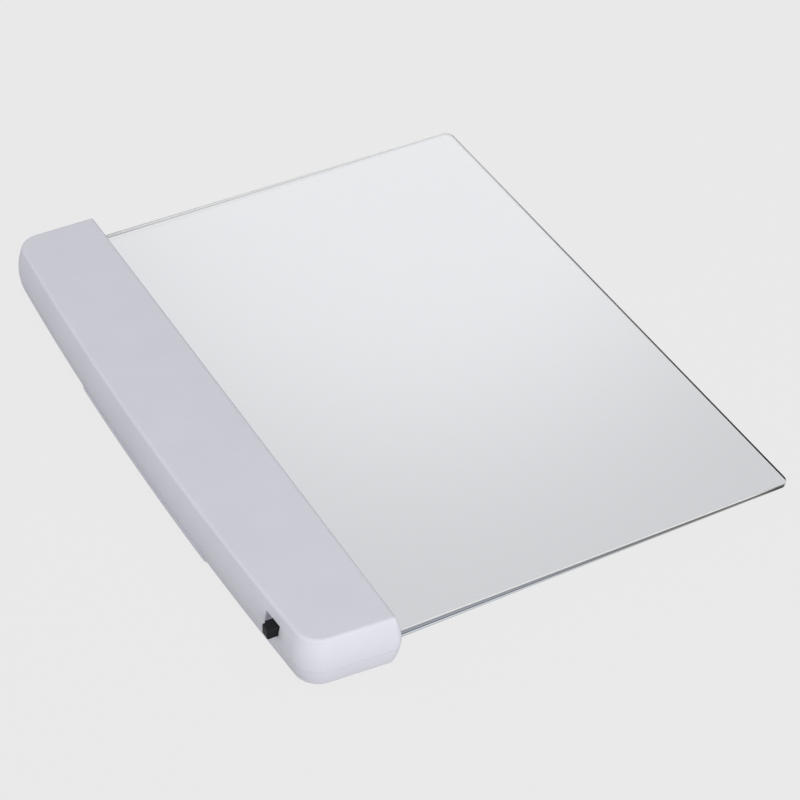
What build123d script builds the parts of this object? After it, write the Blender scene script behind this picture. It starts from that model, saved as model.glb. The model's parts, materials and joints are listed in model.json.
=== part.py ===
"""LED panel book light: a clear wedge light guide held by a battery handle with a slide switch.

Frame: millimetres, +Z up. The origin is under the middle of the whole light, on the plane of the
battery door's flat face. +X runs from the handle to the panel's free edge. +Y runs along the
handle, away from the switch.
"""

from build123d import *
import os
from math import cos, radians, tan

# ---------------------------------------------------------------- driving dimensions
# Panel
panel_reach = 141.6        # from the handle's panel-side wall, at its widest, to the free edge
panel_length = 221.3       # along the handle
panel_insert = 7.3         # hidden in the handle
panel_thick = 3.3          # where it leaves the handle
panel_thin = 1.4           # at the free edge
panel_corner_r = 3.2
panel_edge_break = 0.2

# Handle, outside. Its walls bulge: every side stands furthest out at widest_z.
handle_length = 228.3
handle_depth = 35.95       # panel-side wall to the bowed outer wall
widest_z = 9.6
wall_radius = 25.0         # of the bulge, in section
handle_top = 19.2          # height of the top face
panel_drop = 7.95          # from the handle's top face down to the panel's
door_proud = 0.5           # the door stands this far out of the bottom shell
seam_z = 7.5               # joint between the two shells
bow_radius = 1750.0        # of the outer wall in plan
outer_corner_r = 9.5
near_end_skew = 4.0        # degrees by which the switch end is swept back towards the outer side
inner_corner_r = 2.4       # of the corners beside the panel
inner_corner_growth = 0.24 # the same corners grow rounder by this much for each mm below widest_z
top_edge_r = 1.2
bottom_edge_r = 2.0

# Shell walls
wall = 1.5
skin = 1.6                 # roof and floor
lip_height = 1.2
lip_gap = 0.1
seam_groove_width = 0.2    # fine shadow line where the shells meet
seam_groove_depth = 0.1
rib = 1.2

# Cells, two rows of two
cell_r = 5.25
cell_length = 44.5
cell_can_length = 43.6
cell_nub_r = 1.9
cell_z = 8.6
cell_gap = 0.12
bay_near_y = -48.5
bay_far_y = 47.5
plate = 0.4                # thickness of the contacts and of the switch frame
bay_wall_depth = 30.6      # above the seam the bay's end walls stop short of the top shell
bay_wall_top_z = 12.2

# Battery door
door_near_y = -46.7
door_far_y = 45.9
door_skin = 1.6
door_top_z = 4.6
door_gap = 0.2
door_side_depth = 31.0               # from here outwards the door turns up over the handle's edge
door_flange = 2.0                    # width of the tongue and of the ledge that it runs on
ledge_thick = 0.8
door_ramp = 4.3
door_lug_half = 6.0
door_lug_depth = 12.0
door_rib_top_z = 2.9

# Slide switch
knob_y = -94.4                       # middle of the knob at rest
knob_length = 3.8
knob_height = 3.8
knob_z = 13.55
knob_face_depth = 36.5
knob_step = 0.7                      # how much longer the knob's foot is, on its far side
knob_step_depth = 35.2
knob_travel = 3.3
pocket_floor_depth = 31.5
pocket_gap = 0.15                    # round the knob
neck_length = 2.8
neck_height = 1.8
board_ys = (-99.25, -75.05)          # of the control board
board_top_z = 16.4

# LED strip
led_count = 10
led_pitch = 21.0
led_size = (0.8, 3.0, 1.6)
strip_length = 208.0
strip_board_thick = 0.6
strip_height = 3.8
led_wall_thick = 1.0
led_wall_half = 100.0

# Screws
screw_places = ((22.0, 103.5), (22.0, -103.5), (21.0, 58.0), (21.0, -58.0))   # depth, Y
screw_r = 1.3
screw_head_r = 2.3
screw_head_height = 1.6
screw_length = 10.0
screw_seat_z = 3.6
pilot_top_z = 15.6
post_r = 3.0               # in the top shell
boss_r = 3.5               # in the bottom shell
boss_top_z = 6.8

# ---------------------------------------------------------------- worked out
overall_depth = panel_reach + knob_face_depth     # the knob stands out furthest
wall_x = overall_depth / 2 - panel_reach          # the handle's panel-side wall
half_length = handle_length / 2
half_panel = panel_length / 2
panel_top_z = handle_top - panel_drop
panel_under_z = panel_top_z - panel_thick         # where the panel leaves the handle
panel_taper = (panel_thick - panel_thin) / panel_reach
floor_z = door_proud + skin                       # inside face of the bottom shell's floor
roof_z = handle_top - skin                        # inside face of the top shell's roof
bow_sagitta = half_length**2 / (2 * bow_radius)
bay_middle_y = (bay_near_y + bay_far_y) / 2
knob_foot_ys = (knob_y - knob_length / 2, knob_y + knob_length / 2 + knob_step)
recess_ys = (knob_foot_ys[0] - pocket_gap, knob_foot_ys[1] + knob_travel + pocket_gap)
switch_y = (recess_ys[0] + recess_ys[1]) / 2      # middle of the recess and of the switch behind it
recess_z = (knob_z - knob_height / 2 - pocket_gap, knob_z + knob_height / 2 + pocket_gap)
neck_ys = (knob_y - neck_length / 2, knob_y + neck_length / 2)
neck_window_ys = (neck_ys[0] - pocket_gap, neck_ys[1] + knob_travel + pocket_gap)
neck_window_z = (knob_z - neck_height / 2 - pocket_gap, knob_z + neck_height / 2 + pocket_gap)
panel_back_z = panel_under_z - panel_taper * panel_insert
support_z = panel_back_z - 0.25                   # top of the ribs under the panel's hidden edge
led_front_depth = panel_insert + 0.1
board_front_depth = led_front_depth + led_size[0]
board_back_depth = board_front_depth + strip_board_thick
led_wall_depth = board_back_depth + 0.1
led_wall_back = led_wall_depth + led_wall_thick
strip_z = (support_z + 0.02, support_z + 0.02 + strip_height)
near_row = led_wall_back + cell_gap + cell_r      # depth of each row's axis
far_row = near_row + cell_gap + 2 * cell_r
door_inner_depth = led_wall_back + 0.4
ledge_top_z = door_proud + ledge_thick
frame_front_depth = pocket_floor_depth - 1.1      # the switch frame lies behind the recess
frame_back_depth = frame_front_depth - 5.0
frame_half = 7.5
frame_z = (knob_z - 3.2, knob_z + 3.2)
board_depths = (frame_back_depth - 2.2, frame_back_depth - 1.2)
peg_depth = 4.3
peg_ys = (-70.0, 70.0)
peg_r = 1.6


# ---------------------------------------------------------------- helpers
def block(depths, ys, heights):
    """A box between two depths behind the panel-side wall, two places along Y and two heights."""
    low = (wall_x - max(depths), min(ys), min(heights))
    high = (wall_x - min(depths), max(ys), max(heights))
    size = [b - a for a, b in zip(low, high)]
    middle = [(a + b) / 2 for a, b in zip(low, high)]
    return Pos(*middle) * Box(*size)


def post(depth, y, heights, radius):
    """An upright round post."""
    low, high = min(heights), max(heights)
    return Pos(wall_x - depth, y, (low + high) / 2) * Cylinder(radius, high - low)


def rod(depth, z, ys, radius):
    """A round bar along Y."""
    low, high = min(ys), max(ys)
    turned = Rot(90, 0, 0) * Cylinder(radius, high - low)
    return Pos(wall_x - depth, (low + high) / 2, z) * turned


def stations(count, pitch, middle=0.0):
    """Evenly spaced places along Y."""
    first = middle - pitch * (count - 1) / 2
    return [first + pitch * i for i in range(count)]


def extruded(outline, low, high):
    """A plan outline raised between two heights."""
    return Pos(0, 0, low) * extrude(outline, high - low)


def fused(shapes):
    """One shape from several."""
    shapes = list(shapes)
    total = shapes[0]
    for shape in shapes[1:]:
        total = total + shape
    return total


# ---------------------------------------------------------------- handle form
def handle_outline(z, grow=0.0):
    """Plan of the handle at a height: straight panel side, bowed outer side, swept near end."""
    inset = (z - widest_z) ** 2 / (2 * wall_radius) - grow
    slope = tan(radians(near_end_skew))
    corner_reach = slope + 1 / cos(radians(near_end_skew))
    panel_x = wall_x - inset
    outer_x = wall_x - handle_depth + inset
    far_y = half_length - inset
    near_y = inset * corner_reach - half_length - inner_corner_r * (corner_reach - 1)
    corner_x = outer_x + bow_sagitta
    near_corner = (corner_x, near_y + (panel_x - corner_x) * slope)
    far_corner = (corner_x, far_y)
    outline = make_face(
        [
            Line((panel_x, near_y), (panel_x, far_y)),
            Line((panel_x, far_y), far_corner),
            ThreePointArc(far_corner, (outer_x, 0), near_corner),
            Line(near_corner, (panel_x, near_y)),
        ]
    )
    outline = fillet(outline.vertices().sort_by(Axis.X)[:2], outer_corner_r - inset)
    inner_r = inner_corner_r - inset + inner_corner_growth * max(0.0, widest_z - z)
    return fillet(outline.vertices().sort_by(Axis.X)[-2:], max(inner_r, 0.5))


def handle_form(z_low, z_high, grow=0.0):
    """The handle's bulging form between two heights, grown or shrunk sideways."""
    levels = 4
    heights = [z_low + (z_high - z_low) * i / levels for i in range(levels + 1)]
    return loft([Pos(0, 0, z) * handle_outline(z, grow) for z in heights])


def bottom_form(z_low, z_high, grow=0.0):
    """The same form with its lower edges rounded."""
    form = handle_form(z_low, z_high, grow)
    return fillet(form.faces().sort_by(Axis.Z)[0].edges(), bottom_edge_r + grow)


# ---------------------------------------------------------------- features of the shells
def seam_groove():
    """The fine groove round the handle where the shells meet."""
    ring = handle_outline(seam_z, 1.0) - handle_outline(seam_z, -seam_groove_depth)
    return extruded(ring, seam_z - seam_groove_width / 2, seam_z + seam_groove_width / 2)


def switch_pocket_block():
    """Thickened wall round the switch recess, to be trimmed to the handle's form."""
    ys = (recess_ys[0] - rib, recess_ys[1] + rib)
    heights = (recess_z[0] - rib, recess_z[1] + rib)
    return block((pocket_floor_depth - 1.0, handle_depth + 2), ys, heights)


def switch_pocket_cut():
    """The recess in the outer wall, and the slot in its floor for the knob's neck."""
    recess = block((pocket_floor_depth, handle_depth + 3), recess_ys, recess_z)
    slot = block((pocket_floor_depth - 2, pocket_floor_depth + 1), neck_window_ys, neck_window_z)
    return recess + slot


def panel_slot():
    """The opening in the panel-side wall that the panel leaves through."""
    ys = (-half_panel - 0.2, half_panel + 0.2)
    return block((-1.0, wall + 0.2), ys, (seam_z - 0.1, panel_top_z + 0.1))


# ---------------------------------------------------------------- shells
def make_top_shell():
    """Upper half of the handle, hollow, with cell cradles, screw posts and panel ribs."""
    outer = handle_form(seam_z, handle_top)
    outer = fillet(outer.faces().sort_by(Axis.Z)[-1].edges(), top_edge_r)
    hollow = handle_form(seam_z, roof_z, -wall)
    rebate = extruded(handle_outline(seam_z, -wall / 2), seam_z, seam_z + lip_height + lip_gap)
    shell = outer - hollow - rebate - panel_slot()

    cradles = fused(
        block((near_row - cell_r, handle_depth), (y - rib / 2, y + rib / 2), (10.0, roof_z))
        for y in stations(4, 25.0, bay_middle_y)
    )
    cradles = cradles - fused(rod(d, cell_z, (-60, 60), cell_r + 0.1) for d in (near_row, far_row))
    panel_ribs = fused(
        block((wall, board_front_depth), (y - rib / 2, y + rib / 2), (panel_top_z + 0.65, roof_z))
        for y in stations(8, 27.0)
    )
    posts = fused(post(d, y, (boss_top_z + 0.1, roof_z), post_r) for d, y in screw_places)
    pilots = fused(post(d, y, (boss_top_z, pilot_top_z), screw_r + 0.02) for d, y in screw_places)
    inside = handle_form(seam_z, roof_z + 0.2, 0.2 - wall)
    pocket = switch_pocket_block() & outer
    shell = shell + ((cradles + panel_ribs) & inside) + posts + pocket
    return shell - pilots - switch_pocket_cut() - seam_groove()


def make_bottom_shell():
    """Lower half of the handle, with the door opening, contact walls, LED wall and bosses."""
    outer = bottom_form(door_proud, seam_z)
    hollow = bottom_form(floor_z, seam_z + 1, -wall)
    inside = bottom_form(floor_z - 0.1, seam_z, 0.1 - wall)
    lip_face = handle_outline(seam_z, -wall / 2 - lip_gap) - handle_outline(seam_z, -wall)
    lip = extruded(lip_face, seam_z - 0.3, seam_z + lip_height)
    lip = lip - block((-1, wall + 0.5), (-half_panel - 0.5, half_panel + 0.5), (seam_z, seam_z + 2))
    shell = (outer - hollow) + lip

    led_wall_ys = (-led_wall_half, led_wall_half)
    led_wall = block((led_wall_depth, led_wall_back), led_wall_ys, (floor_z - 0.1, strip_z[1] + 0.1))
    sill_ys = (-half_panel + 0.3, half_panel - 0.3)
    sill = block((0.1, wall), sill_ys, (seam_z - 0.1, panel_under_z - 0.15))
    supports = fused(
        block((wall - 0.1, led_wall_depth + 0.1), (y - rib / 2, y + rib / 2), (floor_z - 0.1, support_z))
        for y in stations(9, 24.0)
    )
    walls = []
    for ys in ((bay_near_y - wall, bay_near_y), (bay_far_y, bay_far_y + wall)):
        lower = block((led_wall_depth, handle_depth), ys, (floor_z - 0.1, seam_z)) & inside
        upper = block((led_wall_depth, bay_wall_depth), ys, (seam_z - 0.1, bay_wall_top_z))
        walls.append(lower + upper)
    pegs = [post(peg_depth, y, (floor_z - 0.1, support_z), 2.5) for y in peg_ys]
    pegs += [post(peg_depth, y, (support_z - 0.1, panel_top_z - 0.1), peg_r) for y in peg_ys]
    bosses = [post(d, y, (floor_z - 0.1, boss_top_z), boss_r) for d, y in screw_places]
    shell = shell + led_wall + sill + supports + fused(walls) + fused(pegs) + fused(bosses)
    shell = shell + make_switch_rests()

    counterbores = fused(post(d, y, (0, screw_seat_z), screw_head_r + 0.3) for d, y in screw_places)
    clearances = fused(post(d, y, (0, boss_top_z + 0.2), screw_r + 0.15) for d, y in screw_places)
    return shell - counterbores - clearances - door_opening() - seam_groove()


def make_switch_rests():
    """Two pads under the switch frame and two upright pairs of jaws that hold the control board."""
    pads = [
        block((frame_back_depth, frame_front_depth), (y - 0.6, y + 0.6), (floor_z - 0.1, frame_z[0] - 0.05))
        for y in (switch_y - 6.6, switch_y + 6.6)
    ]
    panel_side_jaw = (board_depths[0] - 1.3, board_depths[0] - 0.1)
    outer_jaw = (board_depths[1] + 0.1, frame_back_depth - 0.3)
    jaws = [
        block(depths, (y - 0.6, y + 0.6), (floor_z - 0.1, 8.0))
        for y in (board_ys[0] - 0.2, board_ys[1] + 0.2)
        for depths in (panel_side_jaw, outer_jaw)
    ]
    return fused(pads + jaws)


def door_opening():
    """Everything cut from the bottom shell for the door: the well, its ledges and the side gap."""
    near = door_near_y - door_gap
    far = door_far_y + door_gap
    inner = door_inner_depth - door_gap
    outer = handle_depth + 3
    well = block((inner, outer), (near + door_flange, far - door_flange), (0, floor_z + 0.2))
    tongue_room = block((inner, outer), (near, far), (ledge_top_z, floor_z + 0.2))
    side = block((door_side_depth, outer), (near, far), (0, door_top_z + door_gap))
    lug_ys = (bay_middle_y - door_lug_half - 0.4, bay_middle_y + door_lug_half + 0.4)
    lug_room = block((led_wall_depth - 0.1, inner + 1), lug_ys, (floor_z, floor_z + 1.1))
    return well + tongue_room + side + lug_room


def make_battery_door():
    """Sliding door: flat under the cells, turned up over the handle's lower outer edge."""
    trim = block((door_inner_depth, handle_depth + 3), (door_near_y, door_far_y), (-1, door_top_z))
    door = bottom_form(0, door_top_z + 1, door_proud)
    hollow = bottom_form(door_skin, door_top_z + 2, door_proud - door_skin)
    door = (door - hollow) & trim
    for y, outward in ((door_near_y, -1), (door_far_y, 1)):
        inner_y = y - outward * door_flange
        ledge_ys = (inner_y, y + outward)
        tongue_depths = (door_inner_depth, door_side_depth - 0.2)
        door = door - block((0, door_side_depth + 0.1), ledge_ys, (door_proud - 0.05, ledge_top_z + 0.5))
        door = door + block(tongue_depths, (inner_y - outward * rib, y), (ledge_top_z + 0.1, floor_z))
        door = door + block(tongue_depths, (inner_y - outward * rib, inner_y), (door_proud, floor_z))
    lug_ys = (bay_middle_y - door_lug_half, bay_middle_y + door_lug_half)
    lug_top_z = floor_z + 0.8
    door = door + block((door_inner_depth, door_lug_depth), lug_ys, (door_skin - 0.1, lug_top_z))
    door = door + block((led_wall_depth + 0.1, door_lug_depth), lug_ys, (floor_z + 0.1, lug_top_z))
    for y in stations(5, 16.0, bay_middle_y):
        if y != bay_middle_y:
            rib_ys = (y - rib / 2, y + rib / 2)
            door = door + block((door_lug_depth, door_side_depth), rib_ys, (door_skin - 0.1, door_rib_top_z))
    return door - door_ramp_cut() - door_grip_cuts()


def door_ramp_cut():
    """Wedges that thin the door's proud face away to nothing over its far end."""
    start = door_far_y - door_ramp
    end = door_far_y + 1.0
    drop = (door_proud - 0.1) * (end - start) / door_ramp
    under = make_face(Polyline((start, 0), (end, drop), (end, -1), (start, -1), close=True))
    inset = (door_top_z - widest_z) ** 2 / (2 * wall_radius)
    face_x = wall_x - handle_depth + inset - door_proud + start**2 / (2 * bow_radius)
    outside_x = face_x - 5
    thinned_x = face_x + drop + 0.1
    side = make_face(
        Polyline((face_x, start), (thinned_x, end), (outside_x, end), (outside_x, start), close=True)
    )
    return extrude(Plane.YZ * under, 120, both=True) + extruded(side, -1, door_top_z + 1)


def door_grip_cuts():
    """Finger grooves along the door's outer edge, to push it open."""
    grooves = []
    for i in range(6):
        depth = 24.5 - 1.6 * i
        grooves.append(rod(depth, -0.15, (bay_middle_y - 9, bay_middle_y + 9), 0.5))
    return fused(grooves)


# ---------------------------------------------------------------- panel and light engine
def make_light_guide_panel():
    """Clear wedge: level top face, underside rising to the thin free edge, two locating holes."""
    low_x = wall_x - panel_insert
    high_x = wall_x + panel_reach
    section = make_face(
        Polyline(
            (low_x, panel_top_z),
            (high_x, panel_top_z),
            (high_x, panel_top_z - panel_thin),
            (low_x, panel_back_z),
            close=True,
        )
    )
    panel = extrude(Plane.XZ * section, half_panel, both=True)
    corners = panel.edges().filter_by(Axis.Z).sort_by(Axis.X)[-2:]
    panel = fillet(corners, panel_corner_r)
    rim = panel.faces().sort_by(Axis.Z)[-1].edges() + panel.faces().sort_by(Axis.Z)[0].edges()
    panel = chamfer(rim, panel_edge_break)
    return panel - fused(post(peg_depth, y, (0, 20), peg_r + 0.15) for y in peg_ys)


def make_reflector_film(z):
    """Thin white film along the panel's hidden edge."""
    film = block((2.0, led_front_depth), (-half_panel + 1, half_panel - 1), (z, z + 0.1))
    return film - fused(post(peg_depth, y, (z - 1, z + 1), peg_r + 0.3) for y in peg_ys)


def make_panel_foam_strip():
    """Foam between the upper film and the top shell's ribs."""
    strip = block((2.0, 6.6), (-half_panel + 2, half_panel - 2), (panel_top_z + 0.15, panel_top_z + 0.6))
    return strip - fused(post(peg_depth, y, (0, 20), peg_r + 0.3) for y in peg_ys)


def make_led_strip_board():
    return block((board_front_depth, board_back_depth), (-strip_length / 2, strip_length / 2), strip_z)


def make_led_strip_tape():
    return block((board_back_depth, led_wall_depth), (-99, 99), (strip_z[0] + 0.5, strip_z[1] - 0.5))


def make_leds():
    """Side-firing LEDs on the board's panel side."""
    middle_z = (strip_z[0] + strip_z[1]) / 2
    bodies = []
    for y in stations(led_count, led_pitch):
        body = block(
            (led_front_depth, board_front_depth),
            (y - led_size[1] / 2, y + led_size[1] / 2),
            (middle_z - led_size[2] / 2, middle_z + led_size[2] / 2),
        )
        bodies.append(chamfer(body.faces().sort_by(Axis.X)[-1].edges(), 0.12))
    return Compound(children=bodies)


# ---------------------------------------------------------------- slide switch and control board
def make_switch_frame():
    """Folded steel cover of the switch, open at the back."""
    ys = (switch_y - frame_half, switch_y + frame_half)
    inner_ys = (ys[0] + plate, ys[1] - plate)
    inner_z = (frame_z[0] + plate, frame_z[1] - plate)
    cover = block((frame_back_depth, frame_front_depth), ys, frame_z)
    cover = fillet(cover.edges().filter_by(Axis.X), 0.4)
    window = block((frame_front_depth - 1, frame_front_depth + 1), neck_window_ys, neck_window_z)
    return cover - block((frame_back_depth - 1, frame_front_depth - plate), inner_ys, inner_z) - window


def make_switch_base():
    """Insulating base that closes the switch frame, with holes for the terminals."""
    ys = (switch_y - frame_half + plate + 0.05, switch_y + frame_half - plate - 0.05)
    z = (frame_z[0] + plate + 0.05, frame_z[1] - plate - 0.05)
    base = block((frame_back_depth, frame_back_depth + 1.0), ys, z)
    return base - fused(terminal_bars(0.05))


def terminal_bars(grow):
    """The four terminals, or with a positive grow the holes that they pass through."""
    bars = []
    for y in stations(4, 3.0, switch_y):
        ys = (y - 0.4 - grow, y + 0.4 + grow)
        heights = (knob_z - 0.2 - grow, knob_z + 0.2 + grow)
        bars.append(block((board_depths[0] - 0.8, frame_back_depth + 1.3), ys, heights))
    return bars


def make_switch_terminals():
    return Compound(children=terminal_bars(0))


def make_switch_knob():
    """Black knob with a longer foot, its neck and the slider that runs inside the frame."""
    ys = (knob_y - knob_length / 2, knob_y + knob_length / 2)
    heights = (knob_z - knob_height / 2, knob_z + knob_height / 2)
    head = block((pocket_floor_depth + 0.2, knob_face_depth), ys, heights)
    head = fillet(head.edges().filter_by(Axis.X), 0.45)
    head = chamfer(head.faces().sort_by(Axis.X)[0].edges(), 0.3)
    foot = block((pocket_floor_depth + 0.2, knob_step_depth), knob_foot_ys, heights)
    foot = fillet(foot.edges().filter_by(Axis.X), 0.45)
    neck_depths = (frame_front_depth - 1, pocket_floor_depth + 1)
    neck = block(neck_depths, neck_ys, (knob_z - neck_height / 2, knob_z + neck_height / 2))
    slider_depths = (frame_back_depth + 2.6, frame_front_depth - plate - 0.1)
    slider = block(slider_depths, (knob_y - 3.5, knob_y + 3.5), (knob_z - 2.25, knob_z + 2.25))
    return head + foot + neck + slider


def make_switch_wiper():
    """Sprung copper bridge under the slider."""
    back = frame_back_depth + 1.4
    strip = block((back + 0.9, back + 1.15), (knob_y - 2.6, knob_y + 2.6), (knob_z - 0.9, knob_z + 0.9))
    feet = [
        block((back + 0.05, back + 1.0), (y - 0.3, y + 0.3), (knob_z - 0.6, knob_z + 0.6))
        for y in (knob_y - 1.5, knob_y + 1.5)
    ]
    return strip + fused(feet)


def make_control_board():
    """Upright board behind the switch."""
    board = block(board_depths, board_ys, (floor_z + 0.1, board_top_z))
    return board - fused(terminal_bars(0.05))


def make_dimming_resistors():
    """Two axial resistors, one above the other on the board."""
    bodies = []
    middle_y = switch_y + 3.5
    leg_ys = (middle_y - 4.6, middle_y + 4.6)
    axis_depth = board_depths[0] - 1.6
    leg_depths = (axis_depth - 0.2, board_depths[0])
    for z in (knob_z - 3.2, knob_z - 6.4):
        body = rod(axis_depth, z, (middle_y - 3.1, middle_y + 3.1), 1.1)
        body = fillet(body.edges(), 0.4)
        lead = rod(axis_depth, z, leg_ys, 0.28)
        legs = [block(leg_depths, (y - 0.25, y + 0.25), (z - 0.25, z + 0.25)) for y in leg_ys]
        bodies.append(body + lead + fused(legs))
    return Compound(children=bodies)


# ---------------------------------------------------------------- cells and contacts
spring_length = bay_far_y - bay_near_y - 2 * plate - 2 * cell_length
near_plate_y = bay_near_y + plate
far_plate_y = bay_far_y - plate


def make_cell(depth, nub_y, toward):
    """One AAA cell lying along Y, with its nub's tip at nub_y and pointing toward +Y or -Y."""
    shoulder = nub_y - toward * (cell_length - cell_can_length)
    base = nub_y - toward * (cell_length - 0.05)
    can = rod(depth, cell_z, (shoulder, base), cell_r)
    can = fillet(can.edges(), 0.5)
    nub = rod(depth, cell_z, (nub_y - toward * 0.02, shoulder - toward), cell_nub_r)
    tip = nub.faces().sort_by(Axis.Y)[-1 if toward > 0 else 0]
    return can + fillet(tip.edges(), 0.25)


def make_spring(depth, plate_y, toward):
    """Conical coil on its plate, winding toward the cell."""
    wire_r = 0.35
    height = spring_length - 2 * wire_r - 0.1
    path = Helix(height / 4, height, 3.6, cone_angle=-12)
    coil = sweep(Plane(path @ 0, z_dir=path % 0) * Circle(wire_r), path)
    turned = Rot(-90 * toward, 0, 0) * coil
    return Pos(wall_x - depth, plate_y + toward * (wire_r + 0.05), cell_z) * turned


def make_contact_plate(depth, y_range, tab_side):
    """Plated steel contact with a solder tab standing above the bay wall."""
    face = block((depth - 4.6, depth + 4.6), y_range, (cell_z - 4.6, cell_z + 4.4))
    face = fillet(face.edges().filter_by(Axis.Y), 0.8)
    tab = block((depth - 1.5 + tab_side, depth + 1.5 + tab_side), y_range, (cell_z + 4.0, 14.6))
    return face + tab


def make_bridge_contact():
    """One plate across both rows at the far end."""
    depths = (near_row - 4.6, far_row + 3.9)
    face = block(depths, (far_plate_y, bay_far_y), (cell_z - 4.6, cell_z + 3.4))
    return fillet(face.edges().filter_by(Axis.Y), 0.8)


# ---------------------------------------------------------------- wires and screws
def wire(points, start_way, end_way, radius=0.55):
    """An insulated wire through points given as depth, Y and height, with its end directions."""
    path = Spline(*[(wall_x - d, y, z) for d, y, z in points], tangents=(start_way, end_way))
    return sweep(Plane(path @ 0, z_dir=path % 0) * Circle(radius), path)


def make_battery_wire(depth, side_depth, board_face, into_board):
    """From a contact's solder tab, past the screw post and on to a face of the control board."""
    end_y = board_ys[1] - 2.5
    points = [
        (depth, bay_near_y - 0.02, 14.0),
        (side_depth, bay_near_y - 9.0, 15.0),
        (board_face - 2.5 * into_board, end_y + 3.0, 14.6),
        (board_face - 0.05 * into_board, end_y, 12.6),
    ]
    return wire(points, (0, -1, 0), (-into_board, 0, 0))


def make_led_wire(start_y, height, turn_y, end_z):
    """From the control board round the end of the LED wall to the strip."""
    points = [
        (board_depths[0] - 0.05, start_y, height),
        (15.0, turn_y, (height + end_z) / 2),
        (board_back_depth + 0.05, -102.6, end_z),
    ]
    return wire(points, (1, 0, 0), (1, 0, 0))


def make_shell_screws():
    """Pan-head self-tapping screws, driven up from below."""
    screws = []
    for d, y in screw_places:
        head = post(d, y, (screw_seat_z - screw_head_height, screw_seat_z - 0.02), screw_head_r)
        head = fillet(head.faces().sort_by(Axis.Z)[0].edges(), 0.6)
        shank = post(d, y, (screw_seat_z - 0.5, screw_seat_z + screw_length), screw_r)
        shank = chamfer(shank.faces().sort_by(Axis.Z)[-1].edges(), 0.9)
        slot_low = screw_seat_z - screw_head_height - 0.1
        cross = post(d, y, (slot_low, slot_low + 1.0), 0.2)
        for size in ((2.2, 0.5), (0.5, 2.2)):
            cross = cross + Pos(wall_x - d, y, slot_low + 0.45) * Box(*size, 0.9)
        screws.append(head + shank - cross)
    return Compound(children=screws)


# ---------------------------------------------------------------- write every node
def make_nodes():
    """Every sub-part by node name."""
    tip_a = far_plate_y
    tip_b = near_plate_y
    return {
        "top_shell": make_top_shell(),
        "bottom_shell": make_bottom_shell(),
        "battery_door": make_battery_door(),
        "light_guide_panel": make_light_guide_panel(),
        "reflector_film_upper": make_reflector_film(panel_top_z + 0.03),
        "reflector_film_lower": make_reflector_film(panel_back_z - 0.15),
        "panel_foam_strip": make_panel_foam_strip(),
        "led_strip_board": make_led_strip_board(),
        "led_strip_tape": make_led_strip_tape(),
        "leds": make_leds(),
        "switch_frame": make_switch_frame(),
        "switch_base": make_switch_base(),
        "switch_terminals": make_switch_terminals(),
        "switch_knob": make_switch_knob(),
        "switch_wiper": make_switch_wiper(),
        "control_board": make_control_board(),
        "dimming_resistors": make_dimming_resistors(),
        "battery_cell_1": make_cell(far_row, tip_a, 1),
        "battery_cell_2": make_cell(far_row, tip_a - cell_length, 1),
        "battery_cell_3": make_cell(near_row, tip_b, -1),
        "battery_cell_4": make_cell(near_row, tip_b + cell_length, -1),
        "negative_contact": make_contact_plate(far_row, (bay_near_y, near_plate_y), 0),
        "negative_spring": make_spring(far_row, near_plate_y, 1),
        "positive_contact": make_contact_plate(near_row, (bay_near_y, near_plate_y), 0),
        "bridge_contact": make_bridge_contact(),
        "bridge_spring": make_spring(near_row, far_plate_y, -1),
        "battery_wire_red": make_battery_wire(near_row, 16.2, board_depths[0], 1),
        "battery_wire_black": make_battery_wire(far_row, 25.8, board_depths[1], -1),
        "led_wire_red": make_led_wire(board_ys[0] + 2.8, 11.9, -100.8, 10.4),
        "led_wire_black": make_led_wire(board_ys[0] + 1.6, 9.3, -101.6, 8.4),
        "shell_screws": make_shell_screws(),
    }


os.makedirs("parts", exist_ok=True)
for name, shape in make_nodes().items():
    export_step(shape, f"parts/{name}.step")
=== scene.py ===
"""Looks for the LED panel book light: a procedural material for every CAD node, light and camera.

Metres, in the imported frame: +X runs from the handle to the panel's free edge, +Y along the
handle away from the switch, +Z up.
"""

import json
from math import cos, radians, sin

import bpy
from mathutils import Matrix, Vector


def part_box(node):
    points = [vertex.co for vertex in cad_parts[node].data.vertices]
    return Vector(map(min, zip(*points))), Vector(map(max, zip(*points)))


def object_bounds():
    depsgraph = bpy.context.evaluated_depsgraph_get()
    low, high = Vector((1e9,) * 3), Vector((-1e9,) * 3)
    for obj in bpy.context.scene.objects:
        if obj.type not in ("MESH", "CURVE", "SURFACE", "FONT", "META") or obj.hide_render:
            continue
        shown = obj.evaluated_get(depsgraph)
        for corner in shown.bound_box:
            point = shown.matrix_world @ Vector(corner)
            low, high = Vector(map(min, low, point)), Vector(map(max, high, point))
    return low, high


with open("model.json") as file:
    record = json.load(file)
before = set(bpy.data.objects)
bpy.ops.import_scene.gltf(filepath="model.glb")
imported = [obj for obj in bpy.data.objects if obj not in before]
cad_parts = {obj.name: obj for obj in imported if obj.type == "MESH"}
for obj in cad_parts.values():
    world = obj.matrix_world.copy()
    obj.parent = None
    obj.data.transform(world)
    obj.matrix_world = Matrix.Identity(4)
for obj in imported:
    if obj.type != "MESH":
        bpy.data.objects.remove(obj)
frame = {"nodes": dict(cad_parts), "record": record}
cad_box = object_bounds()

MM = 0.001

# ---------------------------------------------------------------- camera
CAMERA_PLACE = (-0.32355, -0.5963, 0.5729)
CAMERA_TURN = 29.09        # degrees from +Y towards +X
CAMERA_DIP = 40.29         # degrees below level
CAMERA_ROLL = 0.84
CAMERA_LENS = 118.9        # millimetres, on a sensor of the width below
CAMERA_SENSOR = 36.0

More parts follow.
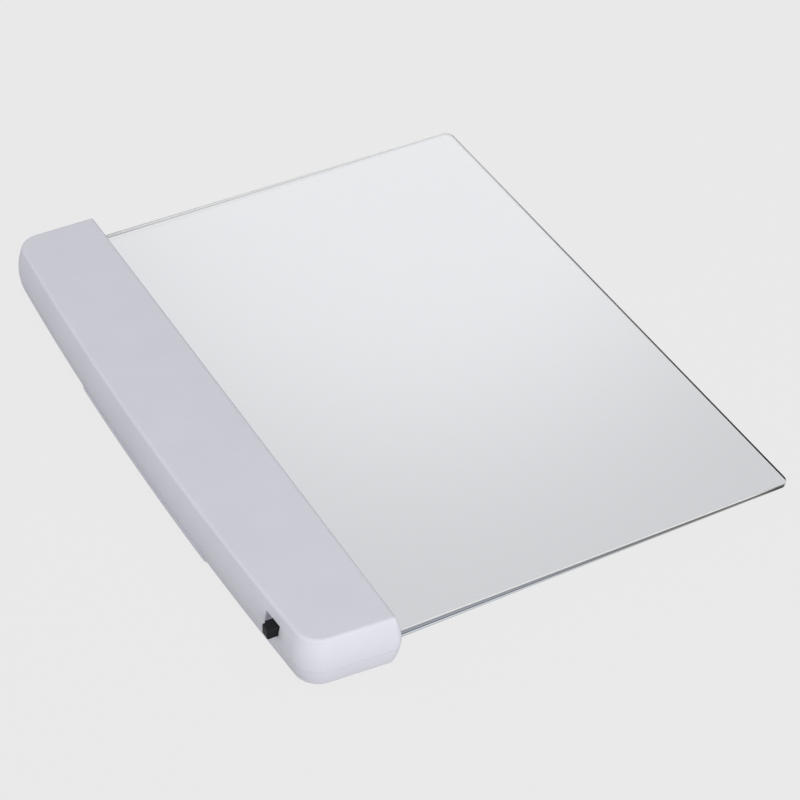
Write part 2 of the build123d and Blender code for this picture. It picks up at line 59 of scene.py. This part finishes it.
# ---------------------------------------------------------------- backdrop and light
BACKGROUND = 0.823         # what the camera sees of floor and backdrop
AMBIENT = 0.85
RIGHT_SHARE = 0.60         # how much of the ambient light is left on the right
RIGHT_SPREAD = (0.1, 0.9)  # cosines from +X between which it weakens
LEFT_GLOW = 0.14           # added softly from behind on the left
LEFT_AXIS = (-0.66, 0.62, 0.42)
LEFT_SPREAD = (0.70, 0.97) # cosines from its axis between which it grows
CARD_GLOW = 1.792          # middle of the round glow that the panel reflects to the camera
CARD_TURN = 28.3           # its direction, in degrees from +Y towards +X
CARD_RISE = 33.8           # its elevation, in degrees
CARD_SPAN = (4.7, 11.9)    # degrees from its middle over which it fades to nothing
CARD_GAP = (15.0, 26.0)    # degrees over which the dark ring round it gives way to ambient light
FRONT_PLACE = (-0.1, -1.3, 0.45)
FRONT_SIZE = 1.0
FRONT_LIGHT = 8.5          # watts
FRONT_COLOUR = (1.0, 1.0, 0.95)

FLOOR_HALF = 4.0
FLOOR_GAP = 0.05 * MM      # below the object
FLOOR_BOUNCE = 0.44        # what the floor gives back to the object
FRONT_BOUNCE = 0.62        # and what it gives back from in front of the near end
FRONT_RUN = 30 * MM        # over which the one goes to the other
FLOOR_SHADE = 0.05         # share of the floor that takes shadows

# ---------------------------------------------------------------- the panel's cut edges, painted with highlight and shade lines
PANEL_TIP = 1.4 * MM       # thickness at the free edge
FLAT_SLOPE = 0.9           # upward share of a normal, below which a face belongs to an edge
RIM = 0.3 * MM             # width of the free edge's eased rim, which also belongs to it
# The bands, the near edge's darkening towards the tip, the free edge's own tones and the near corner's
# paling are painted highlight and painted shade on the cut edges.
BLEND_RUN = (-35 * MM, 75 * MM)      # X over which the bands by the handle turn into those by the tip
TIP_RUN = (14 * MM, 5 * MM)          # distances from the free edge over which the near edge darkens
TIP_PAINTED_SHADE = 0.75            # how far it darkens
FREE_REACH = (3.4 * MM, 3.0 * MM)    # distances from the free edge over which its own tones set in
CORNER_REACH = (2.4 * MM, 1.6 * MM)  # distances from the near corner's sides over which it turns pale

# Painted highlight and shade lines down an edge, in place of its reflections and refractions: tones, each
# with its place from the panel's top (0) to its underside (1).
PAINTED_BANDS_BY_HANDLE = (
    (0.08, 0.68), (0.14, (0.25, 0.27, 0.32)), (0.34, (0.25, 0.27, 0.31)), (0.40, (0.36, 0.36, 0.40)),
    (0.47, (0.36, 0.36, 0.40)), (0.53, (0.09, 0.10, 0.14)), (0.62, (0.13, 0.15, 0.19)),
    (0.68, (0.60, 0.63, 0.68)), (0.82, (0.58, 0.61, 0.65)), (0.92, (0.27, 0.30, 0.34)),
)
PAINTED_BANDS_BY_TIP = ((0.10, 0.70), (0.22, 0.14), (0.50, 0.12), (0.62, 0.24), (0.82, 0.38), (1.0, 0.55))
PAINTED_FAR_LINES = ((0.18, 1.0), (0.26, 0.0), (0.83, 0.0), (0.90, 0.7))
# Painted shade along the free edge, from grey at the far end to black at the near end: tones, each with its
# place from the far end (0) to the near end (1).
PAINTED_FREE_EDGE_TONES = ((0.0, 0.62), (0.3, 0.14), (0.7, 0.01), (1.0, 0.0))


# ---------------------------------------------------------------- node materials
class Nodes:
    """Builds one node tree. Inputs are given as numbers, vectors, colours or other nodes' outputs."""

    def __init__(self, tree):
        self.tree = tree
        tree.nodes.clear()

    def add(self, kind, inputs=None, **settings):
        node = self.tree.nodes.new(kind)
        for name, value in settings.items():
            setattr(node, name, value)
        for name, value in (inputs or {}).items():
            if isinstance(value, bpy.types.NodeSocket):
                self.tree.links.new(value, node.inputs[name])
            else:
                node.inputs[name].default_value = value
        return node

    def math(self, operation, *values):
        return self.add("ShaderNodeMath", dict(enumerate(values)), operation=operation).outputs[0]

    def ramp(self, value, start, end, low=0.0, high=1.0, smooth=False):
        """low to high as value goes from start to end, and level outside."""
        inputs = {"Value": value, "From Min": start, "From Max": end, "To Min": low, "To Max": high}
        kind = "SMOOTHSTEP" if smooth else "LINEAR"
        return self.add("ShaderNodeMapRange", inputs, interpolation_type=kind).outputs[0]

    def mix(self, share, first, second):
        """A colour between two."""
        return self.add("ShaderNodeMix", {0: share, 6: first, 7: second}, data_type="RGBA").outputs[2]

    def shaders(self, share, first, second):
        return self.add("ShaderNodeMixShader", {0: share, 1: first, 2: second}).outputs[0]


class Surface(Nodes):
    """A material's node tree, with patterns placed in the object's own metres."""

    def __init__(self, name):
        self.material = bpy.data.materials.new(name)
        self.material.use_nodes = True
        super().__init__(self.material.node_tree)
        self.place = self.add("ShaderNodeTexCoord").outputs["Object"]
        self.x, self.y, self.z = self.add("ShaderNodeSeparateXYZ", {0: self.place}).outputs

    def noise(self, size, detail=2.0):
        """Cloudy noise from 0 to 1, with lumps of about this many millimetres."""
        inputs = {"Vector": self.place, "Scale": 1 / (size * MM), "Detail": detail}
        return self.add("ShaderNodeTexNoise", inputs).outputs[0]

    def vary(self, size, low, high):
        """A value that wanders between low and high."""
        return self.ramp(self.noise(size), 0.3, 0.7, low, high)

    def mottle(self, size, first, second):
        """A colour that wanders between two."""
        return self.mix(self.vary(size, 0, 1), shade(first), shade(second))

    def uneven(self, size, colour, low, high):
        """A colour whose brightness wanders between low and high."""
        return self.mix(self.vary(size, 0, 1), shade(colour, low), shade(colour, high))

    def off(self, value, middle):
        """How far a value is from middle."""
        return self.math("ABSOLUTE", self.math("SUBTRACT", value, middle))

    def bands(self, value, *stops):
        """A colour that runs through stops, each a value and a grey or a colour."""
        node = self.add("ShaderNodeValToRGB", {0: value})
        steps = node.color_ramp.elements
        for place, colour in stops[1:-1]:
            steps.new(place)
        for step, (place, colour) in zip(steps, stops):
            step.position = place
            step.color = (*colour, 1) if isinstance(colour, tuple) else (colour, colour, colour, 1)
        return node.outputs[0]

    def bump(self, height, depth):
        """A normal for a relief of this depth in millimetres."""
        return self.add("ShaderNodeBump", {"Height": height, "Distance": depth * MM}).outputs[0]

    def principled(self, **inputs):
        named = {name.replace("_", " "): value for name, value in inputs.items()}
        return self.add("ShaderNodeBsdfPrincipled", named).outputs[0]

    def finish(self, shader):
        output = self.add("ShaderNodeOutputMaterial")
        self.tree.links.new(shader, output.inputs["Surface"])
        return self.material


def shade(colour, factor=1.0):
    """A colour, lighter or darker by a factor, as four numbers."""
    return (*[c * factor for c in colour], 1.0)


# ---------------------------------------------------------------- moulded and printed materials
def shell_plastic():
    """Satin ABS, white with a lavender cast, with a fine spark-eroded grain."""
    s = Surface("shell_plastic")
    tone = s.uneven(14, (0.655, 0.655, 0.730), 0.985, 1.015)
    grain = s.bump(s.noise(0.22, 3), 0.006)
    return s.finish(s.principled(Base_Color=tone, Roughness=s.vary(0.6, 0.54, 0.64), Normal=grain))


def near_edge_painted_light(s, from_tip, down):
    """Painted highlight and shade lines on the near edge: banded by the handle, and running together to one
    dark line of painted shade towards the tip.
    """
    blend = s.ramp(s.x, *BLEND_RUN, smooth=True)
    banded = s.mix(blend, s.bands(down, *PAINTED_BANDS_BY_HANDLE), s.bands(down, *PAINTED_BANDS_BY_TIP))
    tip = s.ramp(from_tip, *TIP_RUN, 0, TIP_PAINTED_SHADE)
    return s.mix(tip, banded, shade((0.02, 0.02, 0.02)))


def far_edge_painted_light(s, from_tip, down):
    """Painted light and shade on the edges seen through the panel: the far edge as two darker lines on a
    pale ground, and the free edge turning black with painted shade towards its near end.
    """
    low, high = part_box("light_guide_panel")
    line_tone = s.ramp(s.x, low.x, high.x, 0.15, 0.45)
    far_tone = s.mix(s.bands(down, *PAINTED_FAR_LINES), shade((0.80, 0.80, 0.80)), line_tone)
    free_edge = s.ramp(from_tip, *FREE_REACH)
    nearness = s.ramp(s.y, high.y, low.y, smooth=True)
    return s.mix(free_edge, far_tone, s.bands(nearness, *PAINTED_FREE_EDGE_TONES))


def acrylic():
    """Clear polished acrylic. Its cut edges carry painted highlight and shade lines in place of their
    reflections and refractions, drawn one way from outside and another through the panel.
    """
    s = Surface("acrylic")
    low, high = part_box("light_guide_panel")
    cells = s.add("ShaderNodeTexVoronoi", {"Vector": s.place, "Scale": 1 / (0.9 * MM)}).outputs["Distance"]
    dots = s.ramp(cells, 0.25, 0.4, 0.03, 0.0)
    clear = s.principled(
        Base_Color=(0.850, 0.860, 0.887, 1), Roughness=dots, IOR=1.49, Transmission_Weight=1.0
    )
    pass_light = s.add("ShaderNodeBsdfTransparent", {"Color": shade((0.93, 0.94, 0.95))}).outputs[0]
    ray = s.add("ShaderNodeLightPath").outputs
    lamps = s.math("MAXIMUM", ray["Is Shadow Ray"], ray["Is Diffuse Ray"])

    geometry = s.add("ShaderNodeNewGeometry").outputs
    thickness = s.ramp(s.x, low.x, high.x, high.z - low.z, PANEL_TIP)
    down = s.math("DIVIDE", s.math("SUBTRACT", high.z, s.z), thickness)
    from_tip = s.math("SUBTRACT", high.x, s.x)
    # The cut edges' colour holds painted highlight and shade lines in place of reflection and refraction.
    tone = s.mix(geometry["Backfacing"], near_edge_painted_light(s, from_tip, down), far_edge_painted_light(s, from_tip, down))
    # The near corner is painted pale: a painted highlight.
    corner_x = s.ramp(from_tip, *CORNER_REACH)
    corner_y = s.ramp(s.math("SUBTRACT", s.y, low.y), *CORNER_REACH)
    tone = s.mix(s.math("MULTIPLY", corner_x, corner_y), tone, shade((0.62, 0.62, 0.63)))
    edge_face = s.principled(Base_Color=tone, Roughness=0.35, IOR=1.2)

    upward = s.math("ABSOLUTE", s.add("ShaderNodeSeparateXYZ", {0: geometry["True Normal"]}).outputs[2])
    rim = s.math("LESS_THAN", from_tip, RIM)
    edge = s.math("MAXIMUM", s.math("LESS_THAN", upward, FLAT_SLOPE), rim)
    return s.finish(s.shaders(lamps, s.shaders(edge, clear, edge_face), pass_light))


def white_film():
    """Smooth white reflector film."""
    s = Surface("white_film")
    tone = s.mottle(5, (0.88, 0.88, 0.87), (0.93, 0.93, 0.93))
    return s.finish(s.principled(Base_Color=tone, Roughness=s.vary(1.5, 0.3, 0.4)))


def foam():
    """Closed-cell foam with open pores on its cut faces."""
    s = Surface("foam")
    pores = s.add("ShaderNodeTexVoronoi", {"Vector": s.place, "Scale": 1 / (0.45 * MM)}).outputs["Distance"]
    # The pores are painted darker than the cell walls between them: painted shade inside the pores.
    tone = s.mix(s.ramp(pores, 0.1, 0.6), shade((0.05, 0.05, 0.055)), shade((0.17, 0.17, 0.18)))
    return s.finish(s.principled(Base_Color=tone, Roughness=0.95, Normal=s.bump(pores, 0.1)))


def white_board():
    """White solder mask with a copper track just showing through along its length."""
    s = Surface("white_board")
    low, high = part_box("led_strip_board")
    ridge = s.ramp(s.off(s.z, (low.z + high.z) / 2), 0.9 * MM, 1.05 * MM, smooth=True)
    tone = s.mix(ridge, shade((0.86, 0.86, 0.83)), shade((0.80, 0.78, 0.70)))
    return s.finish(s.principled(Base_Color=tone, Roughness=s.vary(1, 0.3, 0.4), Normal=s.bump(ridge, 0.03)))


def tape():
    """Double-sided cloth tape."""
    s = Surface("tape")
    tone = s.mottle(0.7, (0.68, 0.66, 0.57), (0.76, 0.74, 0.66))
    return s.finish(s.principled(Base_Color=tone, Roughness=0.8, Normal=s.bump(s.noise(0.5), 0.03)))


def led_body():
    """White LED bodies with yellow phosphor in the face that lights the panel."""
    s = Surface("led_body")
    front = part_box("leds")[1].x
    low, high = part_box("led_strip_board")
    facing = s.math("GREATER_THAN", s.x, front - 0.05 * MM)
    window = s.math("LESS_THAN", s.off(s.z, (low.z + high.z) / 2), 0.5 * MM)
    phosphor = s.math("MULTIPLY", facing, window)
    tone = s.mix(phosphor, shade((0.86, 0.86, 0.83)), shade((0.90, 0.72, 0.12)))
    return s.finish(s.principled(Base_Color=tone, Roughness=s.vary(0.4, 0.25, 0.4)))


def phenolic():
    """Paper phenolic, in brown layers."""
    s = Surface("phenolic")
    angle_per_metre = 25000.0        # radians: the layers are 0.25 mm apart
    layers = s.math("SINE", s.math("MULTIPLY", s.x, angle_per_metre))
    tone = s.mix(s.ramp(layers, -1, 1), shade((0.33, 0.19, 0.09)), shade((0.45, 0.28, 0.15)))
    return s.finish(s.principled(Base_Color=tone, Roughness=s.vary(0.5, 0.5, 0.65)))


def black_plastic():
    """Black acetal knob with a fine matt grain and edges rubbed a little shinier."""
    s = Surface("black_plastic")
    tone = s.mottle(1.2, (0.006, 0.006, 0.008), (0.010, 0.010, 0.013))
    worn = s.ramp(s.add("ShaderNodeNewGeometry").outputs["Pointiness"], 0.5, 0.6, 0.55, 0.40)
    grain = s.bump(s.noise(0.12), 0.01)
    return s.finish(s.principled(Base_Color=tone, Roughness=worn, IOR=1.25, Normal=grain))


def green_board():
    """Green solder mask over tracks."""
    s = Surface("green_board")
    inputs = {"Vector": s.place, "Scale": 1 / (1.6 * MM)}
    cells = s.add("ShaderNodeTexVoronoi", inputs, distance="MANHATTAN").outputs["Distance"]
    track = s.ramp(cells, 0.42, 0.48)
    tone = s.mix(track, shade((0.035, 0.20, 0.09)), shade((0.07, 0.34, 0.15)))
    return s.finish(s.principled(Base_Color=tone, Roughness=0.35, Normal=s.bump(track, 0.03)))


def resistor_body():
    """Lacquered bodies with four colour bands, and tinned leads beyond them."""
    s = Surface("resistor_body")
    low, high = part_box("dimming_resistors")
    middle = (low.y + high.y) / 2
    stripes = {
        -1.8: (0.30, 0.13, 0.04),
        -0.8: (0.02, 0.02, 0.02),
        0.2: (0.45, 0.09, 0.03),
        1.7: (0.60, 0.42, 0.10),
    }
    tone = shade((0.62, 0.50, 0.33))
    for place, colour in stripes.items():
        on_stripe = s.math("LESS_THAN", s.off(s.y, middle + place * MM), 0.28 * MM)
        tone = s.mix(on_stripe, tone, shade(colour))
    lead = s.math("GREATER_THAN", s.off(s.y, middle), 3.12 * MM)
    tone = s.mix(lead, tone, shade((0.72, 0.72, 0.70)))
    return s.finish(s.principled(Base_Color=tone, Roughness=s.vary(0.5, 0.25, 0.35), Metallic=lead))


def cell_jacket(node, toward):
    """A cell in a plain jacket: dark, with a coppery band at the nub end, and bare metal at both ends."""
    s = Surface("cell_jacket_" + node)
    low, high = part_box(node)
    nub = high.y if toward > 0 else low.y
    along = s.off(s.y, nub)
    band = s.math("LESS_THAN", along, 12 * MM)
    jacket = s.mix(band, shade((0.030, 0.034, 0.045)), shade((0.52, 0.25, 0.11)))
    past_nub = s.math("LESS_THAN", along, 1.5 * MM)
    past_base = s.math("GREATER_THAN", along, high.y - low.y - 0.6 * MM)
    bare = s.math("MAXIMUM", past_nub, past_base)
    tone = s.mix(bare, jacket, shade((0.66, 0.66, 0.65)))
    rough = s.ramp(bare, 0, 1, 0.22, 0.30)
    dents = s.bump(s.noise(0.8), 0.01)
    return s.finish(s.principled(Base_Color=tone, Roughness=rough, Metallic=bare, Normal=dents))


def insulation(name, colour):
    """PVC wire insulation, slightly waxy."""
    s = Surface(name)
    tone = s.uneven(0.8, colour, 0.85, 1.1)
    return s.finish(s.principled(Base_Color=tone, Roughness=s.vary(0.4, 0.28, 0.42)))


def metal(name, colour, rough, stretch):
    """Plated or bare metal. Its rolling lines run along Y and are stretch times as long as wide."""
    s = Surface(name)
    squeeze = s.add("ShaderNodeVectorMath", {0: s.place, 1: (1, 1 / stretch, 1)}, operation="MULTIPLY")
    inputs = {"Vector": squeeze.outputs[0], "Scale": 1 / (0.08 * MM)}
    lines = s.add("ShaderNodeTexNoise", inputs).outputs[0]
    tone = s.uneven(2, colour, 0.9, 1.05)
    polish = s.ramp(lines, 0.3, 0.7, rough * 0.75, rough * 1.3)
    relief = s.bump(lines, 0.002)
    return s.finish(s.principled(Base_Color=tone, Roughness=polish, Metallic=1.0, Normal=relief))


# ---------------------------------------------------------------- which node gets which material
def make_materials():
    """One material for each of the record's slots, apart from the cells' slot."""
    return {
        "shell_plastic": shell_plastic(),
        "acrylic": acrylic(),
        "white_film": white_film(),
        "foam": foam(),
        "white_board": white_board(),
        "tape": tape(),
        "led_body": led_body(),
        "plated_steel": metal("plated_steel", (0.70, 0.70, 0.68), 0.30, 12),
        "phenolic": phenolic(),
        "plated_brass": metal("plated_brass", (0.74, 0.71, 0.60), 0.32, 6),
        "black_plastic": black_plastic(),
        "copper_alloy": metal("copper_alloy", (0.80, 0.50, 0.30), 0.30, 12),
        "green_board": green_board(),
        "resistor_body": resistor_body(),
        "spring_steel": metal("spring_steel", (0.68, 0.68, 0.68), 0.25, 1),
        "wire_red": insulation("wire_red", (0.55, 0.03, 0.025)),
        "wire_black": insulation("wire_black", (0.02, 0.02, 0.02)),
        "screw_steel": metal("screw_steel", (0.46, 0.46, 0.47), 0.35, 1),
    }


def dress_nodes():
    """A material on every node. Each cell has its own, with its nub towards +Y or -Y."""
    materials = make_materials()
    cell_ways = {"battery_cell_1": 1, "battery_cell_2": 1, "battery_cell_3": -1, "battery_cell_4": -1}
    for part in frame["record"]["subparts"]:
        node = part["node"]
        material = materials.get(part["material_slot"])
        if node in cell_ways:
            material = cell_jacket(node, cell_ways[node])
        for slot in frame["nodes"][node].material_slots:
            slot.material = material


# ---------------------------------------------------------------- floor, backdrop, light and camera
def make_floor():
    """A pale floor that looks evenly lit to the camera and takes only a faint shadow."""
    mesh = bpy.data.meshes.new("floor")
    corners = [(FLOOR_HALF * x, FLOOR_HALF * y, 0) for x, y in ((-1, -1), (1, -1), (1, 1), (-1, 1))]
    mesh.from_pydata(corners, [], [(0, 1, 2, 3)])
    floor = bpy.data.objects.new("floor", mesh)
    floor.location.z = cad_box[0][2] - FLOOR_GAP
    bpy.context.scene.collection.objects.link(floor)

    s = Surface("floor")
    ray = s.add("ShaderNodeLightPath").outputs
    seen = s.math("MAXIMUM", ray["Is Camera Ray"], ray["Is Transmission Ray"])
    near_end = cad_box[0][1]
    bounce = s.ramp(s.y, near_end, near_end - FRONT_RUN, FLOOR_BOUNCE, FRONT_BOUNCE)
    glow = s.ramp(seen, 0, 1, bounce, BACKGROUND)
    even = s.add("ShaderNodeEmission", {"Strength": glow}).outputs[0]
    paint = s.add("ShaderNodeBsdfDiffuse", {"Color": shade((0.8, 0.8, 0.8))}).outputs[0]
    mesh.materials.append(s.finish(s.shaders(FLOOR_SHADE, even, paint)))


def make_world():
    """Even to the camera. For everything else, soft ambient light that is weaker from the right, and
    behind the object a round glow in a dark ring, whose reflection makes the panel fade to the near side."""
    world = bpy.data.worlds.new("studio")
    world.use_nodes = True
    n = Nodes(world.node_tree)
    direction = n.add("ShaderNodeTexCoord").outputs["Generated"]

    def along(axis):
        """Cosine of the angle between the light's direction and an axis."""
        inputs = {0: direction, 1: Vector(axis).normalized()}
        return n.add("ShaderNodeVectorMath", inputs, operation="DOT_PRODUCT").outputs["Value"]

    turn, rise = radians(CARD_TURN), radians(CARD_RISE)
    card_axis = (sin(turn) * cos(rise), cos(turn) * cos(rise), sin(rise))
    off_card = n.math("ARCCOSINE", along(card_axis))
    card = n.ramp(off_card, *map(radians, CARD_SPAN), CARD_GLOW, 0, smooth=True)
    outside = n.ramp(off_card, *map(radians, CARD_GAP), smooth=True)
    even = n.ramp(along((1, 0, 0)), *RIGHT_SPREAD, AMBIENT, AMBIENT * RIGHT_SHARE, smooth=True)
    left = n.ramp(along(LEFT_AXIS), *LEFT_SPREAD, 0, LEFT_GLOW, smooth=True)
    around = n.math("MULTIPLY", n.math("ADD", even, left), outside)
    lit = n.math("ADD", around, card)

    seen = n.add("ShaderNodeLightPath").outputs["Is Camera Ray"]
    shown = n.math("MULTIPLY", seen, BACKGROUND)
    strength = n.math("MULTIPLY_ADD", n.math("SUBTRACT", 1, seen), lit, shown)
    background = n.add("ShaderNodeBackground", {"Color": (1, 1, 1, 1), "Strength": strength})
    output = n.add("ShaderNodeOutputWorld")
    n.tree.links.new(background.outputs[0], output.inputs["Surface"])
    bpy.context.scene.world = world


def make_front_light():
    """A square soft box aimed at the middle of the object."""
    data = bpy.data.lights.new("front_light", "AREA")
    data.size = FRONT_SIZE
    data.energy = FRONT_LIGHT
    data.color = FRONT_COLOUR
    light = bpy.data.objects.new("front_light", data)
    light.location = FRONT_PLACE
    aim = (cad_box[0] + cad_box[1]) / 2 - Vector(FRONT_PLACE)
    light.rotation_euler = aim.to_track_quat("-Z", "Y").to_euler()
    bpy.context.scene.collection.objects.link(light)


def make_camera():
    data = bpy.data.cameras.new("camera")
    data.sensor_width = CAMERA_SENSOR
    data.lens = CAMERA_LENS
    camera = bpy.data.objects.new("camera", data)
    turn = Matrix.Rotation(radians(-CAMERA_TURN), 4, "Z")
    dip = Matrix.Rotation(radians(90 - CAMERA_DIP), 4, "X")
    roll = Matrix.Rotation(radians(CAMERA_ROLL), 4, "Z")
    camera.matrix_world = Matrix.Translation(CAMERA_PLACE) @ turn @ dip @ roll
    bpy.context.scene.collection.objects.link(camera)
    bpy.context.scene.camera = camera


dress_nodes()
make_floor()
make_world()
make_front_light()
make_camera()
bpy.context.scene.view_settings.view_transform = "Standard"
